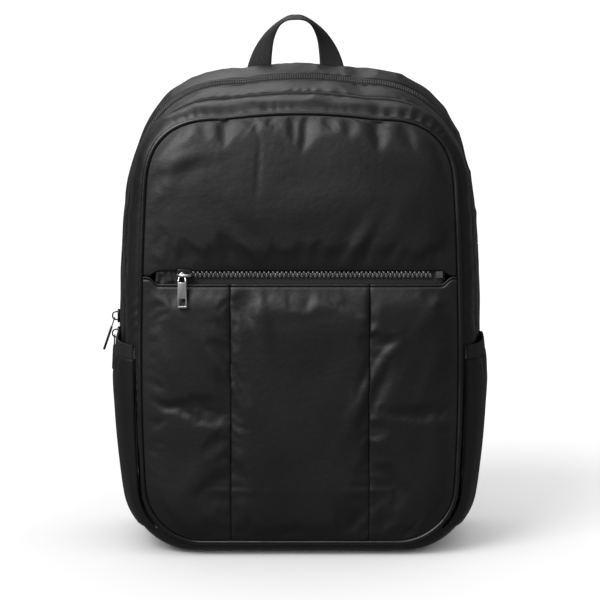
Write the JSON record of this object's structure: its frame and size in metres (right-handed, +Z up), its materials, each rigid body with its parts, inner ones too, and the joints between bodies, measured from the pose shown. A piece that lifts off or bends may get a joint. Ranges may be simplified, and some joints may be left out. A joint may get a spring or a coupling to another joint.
{
  "type": "laptop backpack",
  "caption": "Black padded laptop backpack with a zipped front pocket, side pockets, a two-way main zip, a haul handle and padded shoulder straps.",
  "frame": {"origin": "on the ground under the middle of the base", "axes": "+Z up to the haul handle, +X to the wearer's left as seen from the front, the front pocket faces -Y"},
  "size_m": [0.3405, 0.1936, 0.4639],
  "materials": {
    "cloth": "black coated nylon, satin, softly wrinkled",
    "piping": "black coated nylon over a cord, satin",
    "padding": "black cloth over soft foam",
    "webbing": "black woven nylon webbing",
    "zip_tape": "black woven zip tape",
    "coil": "black nylon coil on woven tape",
    "teeth": "gunmetal grey moulded teeth",
    "gunmetal": "brushed gunmetal plating",
    "buckle": "black moulded nylon"
  },
  "bodies": {
    "bag": {"front_gusset": "cloth", "side_gusset": "cloth", "back_gusset": "cloth", "front_compartment_zip": "coil", "main_zip": "coil", "front_piping": "piping", "front_panel": "cloth", "pocket_panel_left": "cloth", "pocket_panel_centre": "cloth", "pocket_panel_right": "cloth", "front_zip_tape_upper": "zip_tape", "front_zip_tape_lower": "zip_tape", "front_zip_teeth_upper": "teeth", "front_zip_teeth_lower": "teeth", "front_zip_stop": "teeth", "front_slider": "gunmetal", "main_slider_upper": "gunmetal", "main_slider_lower": "gunmetal", "front_compartment_slider": "gunmetal", "side_pocket_left": "cloth", "side_pocket_right": "cloth", "pocket_band_left": "webbing", "pocket_band_right": "webbing", "back_panel": "padding", "haul_handle": "webbing", "shoulder_strap_left": "padding", "shoulder_strap_right": "padding", "strap_adjuster_left": "buckle", "strap_adjuster_right": "buckle", "strap_webbing_left": "webbing", "strap_webbing_right": "webbing", "anchor_tab_left": "cloth", "anchor_tab_right": "cloth"},
    "front_pull_body": {"front_pull": "gunmetal"},
    "main_pull_upper_body": {"main_pull_upper": "gunmetal"},
    "main_pull_lower_body": {"main_pull_lower": "gunmetal"}
  },
  "joints": [
    {"name": "front_pull_swing", "type": "hinge", "parent": "bag", "child": "front_pull_body", "pos_m": [-0.10095, -0.07944, 0.2486], "axis": [-1, 0, 0], "range_deg": [0, 150]},
    {"name": "main_pull_lower_swing", "type": "hinge", "parent": "bag", "child": "main_pull_lower_body", "pos_m": [-0.16625, 0.01512, 0.18075], "axis": [0, 1, 0], "range_deg": [0, 125]},
    {"name": "main_pull_upper_swing", "type": "hinge", "parent": "bag", "child": "main_pull_upper_body", "pos_m": [-0.16601, 0.01512, 0.19675], "axis": [0, 1, 0], "range_deg": [0, 130]}
  ],
  "couplings": [
    {"joint": "main_pull_upper_swing", "follows": "main_pull_lower_swing", "ratio": 1}
  ]
}
